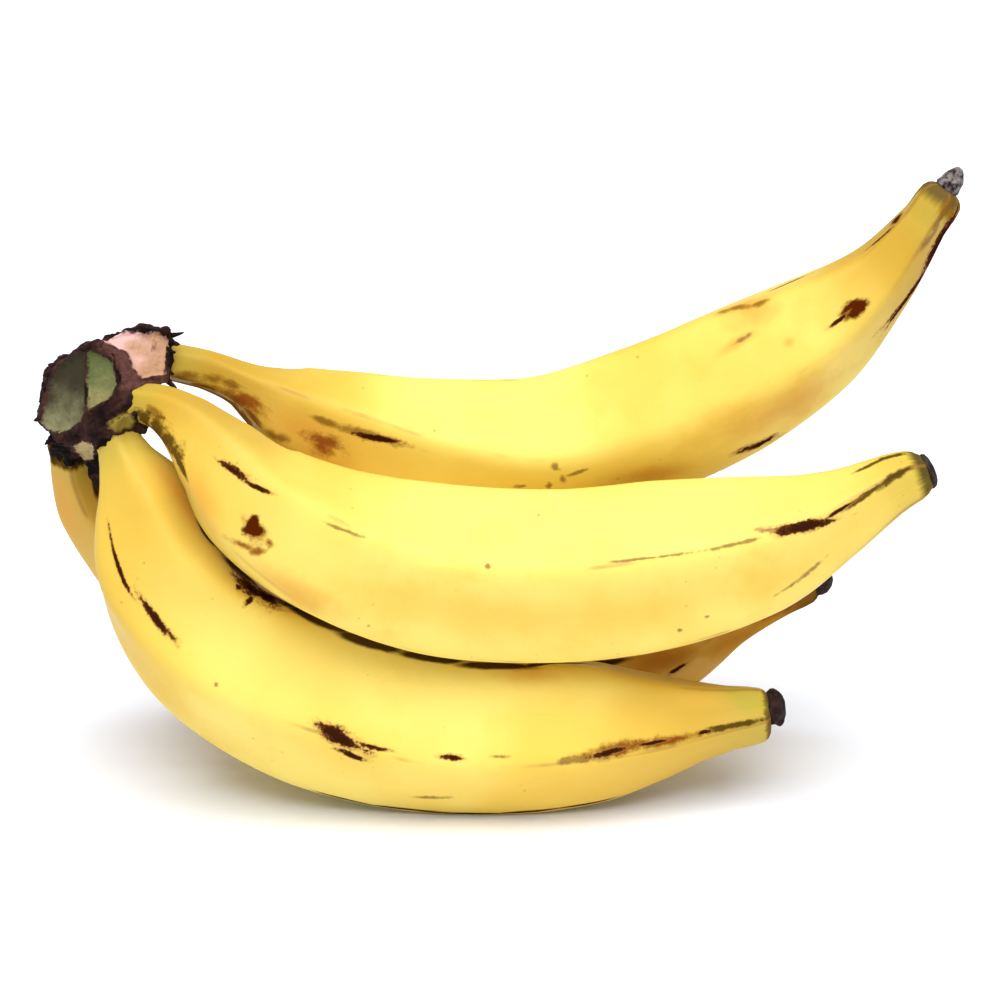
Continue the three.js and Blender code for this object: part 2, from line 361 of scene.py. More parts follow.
# Outlines on the crown, as pixels of the photograph. They are carried onto the surface that
# faces the camera, and kept there as the distance in millimetres inside each outline, up to a
# reach where it stops growing.
AREA_REACH = 6
FACING_CAMERA = 0.1
CROWN_AREAS = {
    "left_cut": [
        (84, 352), (84, 410), (80, 420), (70, 429), (60, 432), (49, 431), (41, 424), (44, 409),
        (49, 392), (51, 378), (58, 366), (70, 357),
    ],
    "right_cut": [(87, 350), (96, 352), (112, 362), (117, 384), (111, 397), (88, 410), (87, 385)],
    "pink_cut": [
        (99, 338), (112, 333), (126, 331), (143, 332), (157, 333), (167, 335), (170, 343),
        (166, 355), (165, 374), (143, 378), (134, 368), (128, 352), (111, 344),
    ],
    "mauve": [
        (95, 342), (104, 336), (126, 350), (134, 366), (143, 379), (166, 378), (172, 386),
        (130, 392), (120, 392), (117, 366), (104, 352),
    ],
    "olive": [(110, 422), (120, 414), (130, 412), (134, 420), (130, 428), (117, 432), (108, 428)],
    "cream": [(74, 445), (85, 441), (94, 446), (94, 458), (85, 461), (78, 454)],
    # The dark outline takes in black at the back stem's root, and painted shade in the gap between the
    # back and front stems and along the top of the front stem.
    "dark": [
        (50, 443), (70, 448), (72, 456), (84, 463), (96, 460), (96, 447), (100, 438), (142, 432),
        (144, 441), (104, 445), (99, 452), (98, 475), (48, 475),
    ],
}

# Torn bark round the cuts: each flake's foot and tip as pixels of the photograph, its foot's depth
# along Y, and its half width, in millimetres.
FLAKES = [
    (146, 330, 140, 325, 5, 1.2), (163, 332, 171, 329, 6, 1.2), (170, 335, 184, 332, 6, 0.9),
    (171, 341, 180, 344, 4, 1.3), (168, 350, 176, 352, 3, 1.1), (167, 368, 174, 374, 2, 1.0),
    (166, 378, 177, 388, 1, 1.3), (53, 372, 43, 375, 6, 1.2), (57, 364, 48, 364, 6, 1.1),
    (46, 398, 39, 401, 6, 1.0), (43, 416, 34, 420, 3, 1.2), (49, 386, 42, 388, 6, 1.0),
    (45, 407, 37, 411, 5, 1.1), (52, 437, 45, 444, 2, 1.0),
    (96, 349, 104, 341, -6, 1.0), (84, 348, 92, 342, -6, 1.0),
]
FLAKE_ROWS = 9
FLAKE_LEAN = 1  # how much nearer the camera the tip is
FLAKE_CURL = 1.2  # how far a flake bows towards the camera
FLAKE_EDGE = 0.12  # half width that is left at its tip
FLAKE_TOP = 0.3
FLAKE_BOTTOM = -0.5


def spline(points, share, centripetal):
    """A Catmull-Rom curve through the points, at shares of the way from the first to the last."""
    points = np.asarray(points, float)
    last = len(points) - 1
    index = np.minimum((share * last).astype(int), last - 1)
    t = (share * last - index)[:, None]
    padded = np.vstack([2 * points[0] - points[1], points, 2 * points[-1] - points[-2]])
    p0, p1, p2, p3 = (padded[index + offset] for offset in range(4))
    if centripetal:
        d0, d1, d2 = (
            np.sum((b - a) ** 2, axis=1)[:, None] ** 0.25 for a, b in ((p0, p1), (p1, p2), (p2, p3))
        )
        start = ((p1 - p0) / d0 - (p2 - p0) / (d0 + d1) + (p2 - p1) / d1) * d1
        end = ((p2 - p1) / d1 - (p3 - p1) / (d1 + d2) + (p3 - p2) / d2) * d1
    else:
        start = (p2 - p0) / 2
        end = (p3 - p1) / 2
    return (
        p1
        + start * t
        + (3 * (p2 - p1) - 2 * start - end) * t**2
        + (2 * (p1 - p2) + start + end) * t**3
    )


def section_radius(angle):
    """Radius of the rounded pentagon as a share of the mean radius, at an angle from a ridge."""
    total = 0
    for face in range(FACES):
        from_face = angle - (face + 0.5) * 2 * math.pi / FACES
        total = total + np.maximum(0, np.cos(from_face)) ** RIDGE_SHARPNESS
    return FACE_DEPTH * total ** (-1 / RIDGE_SHARPNESS)


class Finger:
    """The centre line, sections and directions of one finger, ready to be sampled."""

    def __init__(self, name):
        self.name = name
        self.stations = np.array(STATIONS[name], float)
        fine = np.linspace(0, 1, LINE_SAMPLES)
        line = spline(self.stations[:, :3], fine, True)
        steps = np.linalg.norm(np.diff(line, axis=0), axis=1)
        self.fine = fine
        self.travel = np.concatenate([[0], np.cumsum(steps)])
        self.length = self.travel[-1]

    def rings(self, along, scale, sides):
        """Points round the finger, one ring for each distance along it. The ends run on straight."""
        inside = np.clip(along, 0, self.length)
        share = np.interp(inside, self.travel, self.fine)
        centre = spline(self.stations[:, :3], share, True)
        ahead = spline(self.stations[:, :3], np.clip(share + 1e-4, 0, 1), True)
        behind = spline(self.stations[:, :3], np.clip(share - 1e-4, 0, 1), True)
        tangent = ahead - behind
        tangent /= np.linalg.norm(tangent, axis=1)[:, None]
        centre = centre + (along - inside)[:, None] * tangent
        viewer = np.array([0.0, -1.0, 0.0])
        out = viewer - (tangent @ viewer)[:, None] * tangent
        out /= np.linalg.norm(out, axis=1)[:, None]
        up = np.cross(out, tangent)
        radius, ridge = spline(self.stations[:, 3:], share, False).T
        angle = np.arange(sides) * 2 * math.pi / sides
        reach = (radius * scale)[:, None] * section_radius(angle - np.radians(ridge)[:, None])
        direction = (
            np.cos(angle)[None, :, None] * out[:, None] + np.sin(angle)[None, :, None] * up[:, None]
        )
        points = centre[:, None] + reach[..., None] * direction
        return points, direction, angle, centre, radius, ridge


def mesh_object(name, vertices, faces):
    """A smooth-shaded object from vertices in millimetres."""
    mesh = bpy.data.meshes.new(name)
    mesh.from_pydata((np.asarray(vertices) * MM).tolist(), [], faces)
    mesh.update()
    mesh.shade_smooth()
    obj = bpy.data.objects.new(name, mesh)
    bpy.context.scene.collection.objects.link(obj)
    return obj


def tube_faces(rows, sides):
    """Quads between the rings of a tube, and a fan to a last vertex at each end."""
    faces = []
    for row in range(rows - 1):
        for side in range(sides):
            a = row * sides + side
            b = row * sides + (side + 1) % sides
            faces.append((a, a + sides, b + sides, b))
    start = rows * sides
    last = (rows - 1) * sides
    for side in range(sides):
        after = (side + 1) % sides
        faces.append((start, side, after))
        faces.append((start + 1, last + after, last + side))
    return faces


def add_attribute(obj, name, values):
    """Keeps a number or a vector at each vertex, for the materials to read."""
    kind = "FLOAT_VECTOR" if np.ndim(values) == 2 else "FLOAT"
    attribute = obj.data.attributes.new(name, kind, "POINT")
    key = "vector" if kind == "FLOAT_VECTOR" else "value"
    attribute.data.foreach_set(key, np.asarray(values, np.float32).ravel())


def wander(points, wavelength, seed):
    """Smooth noise from -1 to 1 at each point, changing over about a wavelength in millimetres."""
    shift = Vector((seed * 7.3, seed * 3.1, seed * 5.7))
    return np.array([noise.noise(Vector(p) / wavelength + shift) for p in points])


def swell(points, height, wavelength, seed):
    """The same noise, up to a height in millimetres."""
    return wander(points, wavelength, seed) * height


def build_finger(name):
    """A finger's peel, with its blossom end, and its own place kept at each vertex."""
    finger = Finger(name)
    end = finger.length
    tip_from, tip_scale = np.array(BLOSSOM_PROFILE[name]).T
    body = np.linspace(-ROOT_DEPTH, end + tip_from[0], FINGER_ROWS)
    tip = np.linspace(tip_from[0], tip_from[-1], BLOSSOM_ROWS)[1:]
    along = np.concatenate([body, end + tip])
    scale = np.concatenate([np.ones(len(body)), np.interp(tip, tip_from, tip_scale)])
    points, direction, angle, centre, radius, ridge = finger.rings(along, scale, FINGER_SIDES)
    flat = points.reshape(-1, 3)
    outward = direction.reshape(-1, 3)
    seed = sorted(STATIONS).index(name) + 1
    lift = sum(swell(flat, height, wavelength, seed) for height, wavelength in PEEL_SWELLS)
    flat = flat + outward * lift[:, None]
    flat[:, 2] = np.maximum(flat[:, 2], 0)
    vertices = np.vstack([flat, centre[0], centre[-1]])
    obj = mesh_object(f"peel_{name}", vertices, tube_faces(len(along), FINGER_SIDES))
    place = np.empty((len(along), FINGER_SIDES, 3))
    place[..., 0] = along[:, None]
    place[..., 1] = np.cos(angle)
    place[..., 2] = np.sin(angle)
    ends = [[along[0], 1, 0], [along[-1], 1, 0]]
    add_attribute(obj, "place", np.vstack([place.reshape(-1, 3), ends]))
    step = 2 * math.pi / FACES
    off_ridge = (angle - np.radians(ridge)[:, None] + step / 2) % step - step / 2
    add_attribute(obj, "off_ridge", np.append(off_ridge * radius[:, None], [0, 0]))
    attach(obj, "root")
    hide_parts(f"finger_{name}")
    obj.data.materials.append(peel_material(finger))


def build_remnant(name):
    """The dried stub of the flower, lumpy and crumbling."""
    finger = Finger(name)
    shape = REMNANTS[name]
    past, share = np.array(shape["profile"]).T
    along = np.linspace(past[0], past[-1], REMNANT_ROWS)
    scale = np.interp(along, past, share)
    points, direction, _, centre, _, _ = finger.rings(finger.length + along, scale, REMNANT_SIDES)
    flat = points.reshape(-1, 3)
    outward = direction.reshape(-1, 3)
    seed = sorted(STATIONS).index(name) + 11
    lumps = swell(flat, shape["lumps"], LUMP_WAVE, seed)
    creases = np.abs(swell(flat, shape["lumps"], CREASE_WAVE, seed)) * CREASE_SHARE
    flat = flat + outward * (lumps + creases)[:, None]
    vertices = np.vstack([flat, centre[0], centre[-1]])
    vertices[:, 0] += shape["offset"][0]
    vertices[:, 2] += shape["offset"][1]
    obj = mesh_object(f"dried_flower_{name}", vertices, tube_faces(REMNANT_ROWS, REMNANT_SIDES))
    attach(obj, "root")
    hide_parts(f"remnant_{name}")
    obj.data.materials.append(remnant_material(name))


def photo_place(points):
    """Where points in millimetres are seen in the photograph, in its pixels."""
    offset = np.asarray(points) - CAMERA_EYE
    depth = -offset @ CAMERA_BACK
    across = PHOTO_SIZE / 2 + FOCUS * offset[:, 0] / depth
    down = PHOTO_SIZE / 2 - FOCUS * (offset @ CAMERA_UP) / depth
    return np.stack([across, down], 1)


def distance_inside(places, outline):
    """Distance of each place to a closed outline, positive inside it."""
    corners = np.array(outline, float)
    nearest = np.full(len(places), 1e9)
    inside = np.zeros(len(places), bool)
    for start, end in zip(corners, np.roll(corners, -1, axis=0)):
        side = end - start
        share = np.clip((places - start) @ side / (side @ side), 0, 1)
        nearest = np.minimum(nearest, np.linalg.norm(places - start - share[:, None] * side, axis=1))
        crosses = (start[1] > places[:, 1]) != (end[1] > places[:, 1])
        rise = np.where(side[1] == 0, 1, side[1])
        inside ^= crosses & (places[:, 0] < start[0] + (places[:, 1] - start[1]) * side[0] / rise)
    return np.where(inside, nearest, -nearest)


def hull(bm, points):
    """Adds the tightest closed skin round points in millimetres."""
    vertices = [bm.verts.new(Vector(point) * MM) for point in points]
    bmesh.ops.convex_hull(bm, input=vertices)


def crown_surface():
    """Vertices, normals and faces of the blocks and collars, melted into one fine skin."""
    bm = bmesh.new()
    for corners in CROWN_BLOCKS.values():
        hull(bm, corners)
    for name, root in ROOTS.items():
        finger = Finger(name)
        at = np.array([float(COLLAR_AT[name])])
        points, _, _, centre, _, _ = finger.rings(at, np.ones(1), COLLAR_SIDES)
        foot = (points[0] - centre[0]) * COLLAR_SPREAD + np.array(root)
        hull(bm, np.vstack([points[0], foot]).tolist())
    mesh = bpy.data.meshes.new("blocks")
    bm.to_mesh(mesh)
    bm.free()
    blocks = bpy.data.objects.new("blocks", mesh)
    bpy.context.scene.collection.objects.link(blocks)
    remesh = blocks.modifiers.new("melt", "REMESH")
    remesh.mode = "VOXEL"
    remesh.voxel_size = CROWN_VOXEL * MM
    smooth = blocks.modifiers.new("ease", "SMOOTH")
    smooth.iterations = CROWN_EASING
    melted = blocks.evaluated_get(bpy.context.evaluated_depsgraph_get()).to_mesh()
    count = len(melted.vertices)
    places = np.empty(count * 3, np.float32)
    normals = np.empty(count * 3, np.float32)
    melted.vertices.foreach_get("co", places)
    melted.vertices.foreach_get("normal", normals)
    faces = [tuple(face.vertices) for face in melted.polygons]
    bpy.data.objects.remove(blocks)
    return places.reshape(-1, 3).astype(float) / MM, normals.reshape(-1, 3).astype(float), faces


def seen_from_camera(pixel, y):
    """The point in millimetres at a depth Y that the photograph shows at a pixel."""
    across = (pixel[0] - PHOTO_SIZE / 2) / FOCUS
    rise = (PHOTO_SIZE / 2 - pixel[1]) / FOCUS
    ray = np.array([across, 0, 0]) + CAMERA_UP * rise - CAMERA_BACK
    return CAMERA_EYE + ray * (y - CAMERA_EYE[1]) / ray[1]


def flake(foot_x, foot_y, tip_x, tip_y, depth, half_width):
    """A thin torn blade of bark, as points and faces."""
    foot = seen_from_camera((foot_x, foot_y), depth)
    tip = seen_from_camera((tip_x, tip_y), depth - FLAKE_LEAN)
    run = (tip - foot) / np.linalg.norm(tip - foot)
    aside = np.cross(run, [0, 1, 0])
    aside /= np.linalg.norm(aside)
    section = ((1, FLAKE_TOP), (-1, FLAKE_TOP), (-1, FLAKE_BOTTOM), (1, FLAKE_BOTTOM))
    points = []
    for row in range(FLAKE_ROWS):
        share = row / (FLAKE_ROWS - 1)
        rough = noise.noise(Vector((foot_x, tip_y, share * 9))) * 0.5 + 1
        half = half_width * rough * (1 - share) ** 0.7 + FLAKE_EDGE
        curl = np.array([0, -FLAKE_CURL, 0]) * math.sin(share * 2.6)
        centre = foot + (tip - foot) * (share * 1.25 - 0.25) + curl
        for side, lift in section:
            points.append(centre + aside * half * side + np.array([0, -lift, 0]))
    last = 4 * FLAKE_ROWS - 1
    faces = [(0, 1, 2, 3), (last, last - 1, last - 2, last - 3)]
    for row in range(FLAKE_ROWS - 1):
        for side in range(4):
            a = row * 4 + side
            b = row * 4 + (side + 1) % 4
            faces.append((a, a + 4, b + 4, b))
    return points, faces


def crown_areas(points, normals):
    """How far inside each outline every point is seen, where the surface faces the camera."""
    pixels = photo_place(points)
    faces_camera = normals @ CAMERA_BACK > FACING_CAMERA
    areas = {}
    for name, outline in CROWN_AREAS.items():
        inside = distance_inside(pixels, outline) * PIXEL
        areas[name] = np.clip(np.where(faces_camera, inside, -AREA_REACH), -AREA_REACH, AREA_REACH)
    return areas


def crown_relief(points, areas):
    """How far each point stands out: lumpy, cracked bark, sunk and nearly smooth in the cuts."""
    cut = np.maximum(np.maximum(areas["left_cut"], areas["right_cut"]), areas["pink_cut"])
    bare = np.maximum(cut, areas["mauve"] - 0.5)
    skin = np.clip(0.5 - bare, 0.25, 1)
    bark = np.abs(swell(points, *BARK_RIDGES)) + np.abs(swell(points, *BARK_CRACKS)) - BARK_SINK
    lumps = swell(points, *BARK_LUMPS)
    grain = swell(points * np.array(CUT_GRAIN_STRETCH), *CUT_GRAIN)
    sunk = np.clip(cut + CUT_LIP, 0, CUT_REACH) * CUT_SLOPE
    return skin * (bark + lumps) + (1 - skin) * grain - sunk


def build_crown():
    """The crown's bark and cuts, with torn flakes round the cuts, in one mesh."""
    points, normals, faces = crown_surface()
    areas = crown_areas(points, normals)
    places = list(points + normals * crown_relief(points, areas)[:, None])
    values = {name: list(value) for name, value in areas.items()}
    for row in FLAKES:
        more_points, more_faces = flake(*row)
        faces += [tuple(index + len(places) for index in face) for face in more_faces]
        places += more_points
        for value in values.values():
            value += [-AREA_REACH] * len(more_points)
    obj = mesh_object("crown_tissue", places, faces)
    for name, value in values.items():
        add_attribute(obj, name, value)
    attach(obj, "root")
    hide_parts("crown")
    obj.data.materials.append(crown_material())


class Graph:
    """Short calls that add shader nodes to a tree and link them."""

    def __init__(self, tree):
        self.tree = tree

    def node(self, kind, inputs=(), **settings):
        """A new node, with its inputs by name or number and its settings by name."""
        node = self.tree.nodes.new(kind)
        for key, value in settings.items():
            setattr(node, key, value)
        for key, value in dict(inputs).items():
            self.put(node.inputs[key], value)
        return node

    def put(self, socket, value):
        """Links an output to a socket, or sets the socket to a plain value."""
        if isinstance(value, bpy.types.NodeSocket):
            self.tree.links.new(value, socket)
        else:
            socket.default_value = value

    def math(self, operation, a, b=0.0, c=0.0):
        return self.node("ShaderNodeMath", {0: a, 1: b, 2: c}, operation=operation).outputs[0]

    def ramp(self, value, low, high, to_low=0.0, to_high=1.0):
        """A smooth step of the value between two limits."""
        inputs = {"Value": value, "From Min": low, "From Max": high, "To Min": to_low, "To Max": to_high}
        node = self.node("ShaderNodeMapRange", inputs, interpolation_type="SMOOTHSTEP")
        return node.outputs["Result"]

    def noise(self, vector, scale, detail=2.0, roughness=0.5):
        inputs = {"Vector": vector, "Scale": scale, "Detail": detail, "Roughness": roughness}
        return self.node("ShaderNodeTexNoise", inputs).outputs["Fac"]

    def around_zero(self, value):
        """A noise from 0 to 1 moved down to swing round zero."""
        return self.math("SUBTRACT", value, 0.5)

    def mix(self, factor, first, second):
        """The first colour turning into the second as the factor goes from 0 to 1."""
        node = self.node("ShaderNodeMix", data_type="RGBA")
        self.put(node.inputs[0], factor)
        self.put(node.inputs[6], first)
        self.put(node.inputs[7], second)
        return node.outputs[2]

    def vector(self, x, y, z):
        return self.node("ShaderNodeCombineXYZ", {0: x, 1: y, 2: z}).outputs[0]


def new_material(name):
    """A material, its graph and its shader."""
    material = bpy.data.materials.new(name)
    material.use_nodes = True
    tree = material.node_tree
    shader = next(node for node in tree.nodes if node.type == "BSDF_PRINCIPLED")
    return material, Graph(tree), shader


def colour(red, green, blue):
    """An opaque colour, in linear values."""
    return (red, green, blue, 1.0)


def mark_group():
    """How deep a point of the peel is in a mark: 1 at its middle, 0 at its edge, then below 0."""
    group = bpy.data.node_groups.new("mark", "ShaderNodeTree")
    for name in ("Along", "Around", "Ragged", "Middle", "Angle", "Length", "Width", "Turn"):
        group.interface.new_socket(name, in_out="INPUT", socket_type="NodeSocketFloat")
    group.interface.new_socket("Depth", in_out="OUTPUT", socket_type="NodeSocketFloat")
    graph = Graph(group)
    given = graph.node("NodeGroupInput").outputs
    off = graph.math("SUBTRACT", given["Along"], given["Middle"])
    bend = graph.math("MULTIPLY_ADD", off, given["Turn"], given["Angle"])
    aside = graph.math("SUBTRACT", given["Around"], bend)
    x = graph.math("DIVIDE", off, given["Length"])
    y = graph.math("DIVIDE", aside, given["Width"])
    away = graph.node("ShaderNodeVectorMath", {0: graph.vector(x, y, 0.0)}, operation="LENGTH")
    depth = graph.math("SUBTRACT", given["Ragged"], away.outputs["Value"])
    graph.node("NodeGroupOutput", {"Depth": depth})
    return group


MARK_GROUP = mark_group()


def mark_depth(graph, finger, skin, marks, edge):
    """How deep a point is in the deepest of several marks."""
    deepest = None
    for middle, angle, half_length, half_width, turn in marks:
        share = np.interp([middle], finger.travel, finger.fine)
        radius = spline(finger.stations[:, 3:], share, False)[0, 0]
        inputs = {
            "Along": skin.along,
            "Around": skin.around,
            "Ragged": edge,
            "Middle": middle,
            "Angle": angle,
            "Length": half_length,
            "Width": math.degrees(half_width / radius),
            "Turn": turn,
        }
        node = graph.node("ShaderNodeGroup", node_tree=MARK_GROUP)
        for key, value in inputs.items():
            graph.put(node.inputs[key], value)
        depth = node.outputs["Depth"]
        deepest = depth if deepest is None else graph.math("MAXIMUM", deepest, depth)
    return deepest


PEEL_BRIGHT = colour(0.86, 0.67, 0.145)
PEEL_DEEP = colour(0.8, 0.54, 0.075)
PEEL_OCHRE = colour(0.54, 0.32, 0.028)
# The back finger's palette: the same yellow painted darker and browner, as shade.
BACK_SHADED_BRIGHT = colour(0.76, 0.51, 0.13)
BACK_SHADED_DEEP = colour(0.7, 0.41, 0.07)
PEEL_GREEN = colour(0.42, 0.36, 0.05)
TIP_BROWN = {
    "top": colour(0.1, 0.06, 0.022),
    "middle": colour(0.045, 0.032, 0.012),
    "front": colour(0.1, 0.06, 0.022),
    "back": colour(0.03, 0.012, 0.006),
}

# The kinds of mark, in the order that they are painted: the colour, how deep into a mark it starts
# and is full, how strong it gets, the noise that frays its edge, and whether it is dull.
MARK_KINDS = {
    "tan": (colour(0.74, 0.46, 0.055), -0.3, 1.0, 0.6, "cloudy", False),
    "ochre": (colour(0.66, 0.32, 0.035), -0.5, 1.0, 0.72, "cloudy", False),
    "green": (colour(0.42, 0.4, 0.03), -0.3, 1.0, 0.5, "cloudy", False),
    # Rusty orange, partly painted shade; some stains and moss marks are painted shade too.
    "rust_and_shade": (colour(0.42, 0.16, 0.02), -0.5, 1.0, 0.85, "cloudy", True),
    "stain_and_shade": (colour(0.2, 0.085, 0.01), -0.3, 0.8, 0.85, "soft", True),
    "smear": (colour(0.22, 0.1, 0.015), -0.1, 0.7, 0.8, "soft", False),
    "bruise": (colour(0.22, 0.045, 0.006), -0.3, 0.8, 0.9, "soft", True),
    "moss_and_shade": (colour(0.06, 0.026, 0.003), -0.35, 0.5, 0.92, "soft", True),
    "burn": (colour(0.075, 0.012, 0.001), -0.15, 0.35, 1.0, "firm", True),
    # Painted shade where fingers touch each other or the floor, not a mark of the peel.
    "contact_shade": (colour(0.035, 0.008, 0.004), -0.25, 0.35, 0.96, "calm", True),
}
FLECK_BROWN = colour(0.22, 0.1, 0.015)
SCAR_DARK = colour(0.035, 0.009, 0.003)
SCAR_BROWN = colour(0.11, 0.032, 0.008)
SCAR_RIM = colour(0.4, 0.2, 0.04)
RIDGE_BROWN = colour(0.3, 0.15, 0.03)
MARK_ROUGHNESS = colour(0.62, 0.62, 0.62)


def hidden_marks(finger):
    """Scars strewn over the side that the photograph doesn't show."""
    draw = random.Random(finger.name)
    marks = []
    for _ in range(HIDDEN_MARKS):
        middle = draw.uniform(*HIDDEN_SHARES) * finger.length
        angle = draw.uniform(*HIDDEN_ANGLES)
        half_length = draw.uniform(*HIDDEN_LENGTHS)
        half_width = draw.uniform(*HIDDEN_WIDTHS)
        marks.append((middle, angle, half_length, half_width, 0))
    return marks


def read_skin(graph):
    """Where a point is on its finger, and the noises that the peel's looks share."""
    place = graph.node("ShaderNodeAttribute", attribute_name="place")
    off_ridge = graph.node("ShaderNodeAttribute", attribute_name="off_ridge").outputs["Fac"]
    along, cosine, sine = graph.node("ShaderNodeSeparateXYZ", {0: place.outputs["Vector"]}).outputs
    around = graph.math("MULTIPLY", graph.math("ARCTAN2", sine, cosine), 180 / math.pi)
    where = graph.node("ShaderNodeTexCoord").outputs["Object"]
    # Fibres run along the peel, so their noise is drawn out that way.
    fibre = graph.vector(
        graph.math("MULTIPLY", along, 0.3),
        graph.math("MULTIPLY", cosine, 22.0),
        graph.math("MULTIPLY", sine, 22.0),
    )
    blotch = graph.noise(where, 42, 4, 0.6)
    return SimpleNamespace(
        along=along,
        around=around,
        off_ridge=off_ridge,
        where=where,
        torn=graph.noise(fibre, 0.32, 4, 0.6),
        fine=graph.noise(where, 900, 2, 0.5),
        blotch=blotch,
        drifting=graph.math("MULTIPLY_ADD", graph.around_zero(blotch), 24, along),
    )


def mottled_yellow(graph, finger, skin):
    """Bright yellow with deeper patches, blotches and fibres. The back finger's yellow is painted darker
    and browner, as shade.
    """
    bright = BACK_SHADED_BRIGHT if finger.name == "back" else PEEL_BRIGHT
    deep = BACK_SHADED_DEEP if finger.name == "back" else PEEL_DEEP
    patch = graph.noise(skin.where, 14, 2, 0.5)
    base = graph.mix(graph.ramp(patch, 0.4, 0.65), bright, deep)
    base = graph.mix(graph.ramp(skin.blotch, 0.5, 0.75, 0, 0.45), base, deep)
    return graph.mix(graph.ramp(skin.torn, 0.6, 0.8, 0, 0.2), base, deep)


def shade_ends(graph, finger, skin, base):
    """Ochre, then green towards both ends, and dark at the crown and at the very tip.

    Returns the colour, and how far a point is in the dark.
    """
    end = finger.length
    tip_ochre = graph.ramp(skin.drifting, end - 75, end - 18, 0, TIP_OCHRE[finger.name])
    base = graph.mix(tip_ochre, base, PEEL_OCHRE)
    root_ochre = graph.ramp(skin.drifting, 78, 12, 0, ROOT_OCHRE[finger.name])
    base = graph.mix(root_ochre, base, PEEL_OCHRE)
    base = graph.mix(graph.ramp(skin.drifting, end - 24, end - 4, 0, 0.4), base, PEEL_GREEN)
    base = graph.mix(graph.ramp(skin.drifting, 14, 0, 0, 0.4), base, PEEL_GREEN)
    edge = graph.math("MULTIPLY_ADD", graph.around_zero(skin.torn), 3, skin.along)
    tip_start = end - TIP_SHADE[finger.name]
    tip_full = end - TIP_SHADE[finger.name] * 0.25
    tip = graph.ramp(edge, tip_start, tip_full, 0, 0.9)
    base = graph.mix(tip, base, TIP_BROWN[finger.name])
    root_end = ROOT_SHADE[finger.name]
    root = graph.ramp(edge, root_end + 1.2, root_end - 1, 0, 0.95)
    base = graph.mix(root, base, SCAR_DARK)
    return base, graph.math("MAXIMUM", tip, root)


def rub_ridges(graph, finger, skin, base):
    """Ridges rubbed brown in places, most at the blossom end, and tiny brown flecks."""
    end = finger.length
    worn = graph.ramp(graph.noise(skin.where, 26, 3, 0.6), 0.52, 0.66)
    worn = graph.math("MAXIMUM", worn, graph.ramp(skin.drifting, end - 42, end - 8, 0, 1))
    line = graph.ramp(graph.math("ABSOLUTE", skin.off_ridge), 0.9, 0.3)
    rubbed = graph.math("MULTIPLY", graph.math("MULTIPLY", line, worn), 0.55)
    base = graph.mix(rubbed, base, RIDGE_BROWN)
    cell_inputs = {"Vector": skin.where, "Scale": 220.0, "Randomness": 1.0}
    cells = graph.node("ShaderNodeTexVoronoi", cell_inputs)
    chosen = graph.ramp(graph.noise(skin.where, 60, 2, 0.5), 0.56, 0.68)
    fleck = graph.math("MULTIPLY", graph.ramp(cells.outputs["Distance"], 0.17, 0.08), chosen)
    return graph.mix(graph.math("MULTIPLY", fleck, 0.5), base, FLECK_BROWN)


def mark_edges(graph, skin):
    """Noises that swing round 1 and fray the marks' edges, from torn fibres to clouds."""
    fibre = graph.around_zero(skin.torn)
    grain = graph.around_zero(skin.fine)
    ragged = graph.math("MULTIPLY_ADD", fibre, 2.2, 1.0)
    ragged = graph.math("MULTIPLY_ADD", grain, 0.9, ragged)
    speckle = graph.around_zero(graph.noise(skin.where, 260, 3, 0.6))
    soft = graph.math("MULTIPLY_ADD", speckle, 1.6, 1.0)
    soft = graph.math("MULTIPLY_ADD", fibre, 1.2, soft)
    soft = graph.math("MULTIPLY_ADD", grain, 0.5, soft)
    return {
        "ragged": ragged,
        "soft": soft,
        "firm": graph.math("MULTIPLY_ADD", soft, 0.6, 0.4),
        "calm": graph.math("MULTIPLY_ADD", fibre, 0.7, 1.0),
        "cloudy": graph.math("MULTIPLY_ADD", graph.around_zero(skin.blotch), 1.8, 1.0),
    }


def paint_marks(graph, finger, skin, base, dullest):
    """Paints every mark over the base. Returns the colour, how dull a point is, and the scars."""
    marks = MARKS[finger.name]
    edges = mark_edges(graph, skin)
    for kind, (paint, start, full, strength, edge, dull) in MARK_KINDS.items():
        if kind in marks:
            depth = mark_depth(graph, finger, skin, marks[kind], edges[edge])
            base = graph.mix(graph.ramp(depth, start, full, 0, strength), base, paint)
            if dull:
                dullest = graph.math("MAXIMUM", dullest, depth)
    scars = marks["scar"] + hidden_marks(finger)
    depth = mark_depth(graph, finger, skin, scars, edges["ragged"])
    base = graph.mix(graph.ramp(depth, -0.5, 0.1, 0, 0.6), base, SCAR_RIM)
    base = graph.mix(graph.ramp(depth, -0.08, 0.25), base, SCAR_BROWN)
    scar = graph.ramp(depth, 0.05, 0.6)
    return graph.mix(scar, base, SCAR_DARK), graph.math("MAXIMUM", dullest, depth), scar


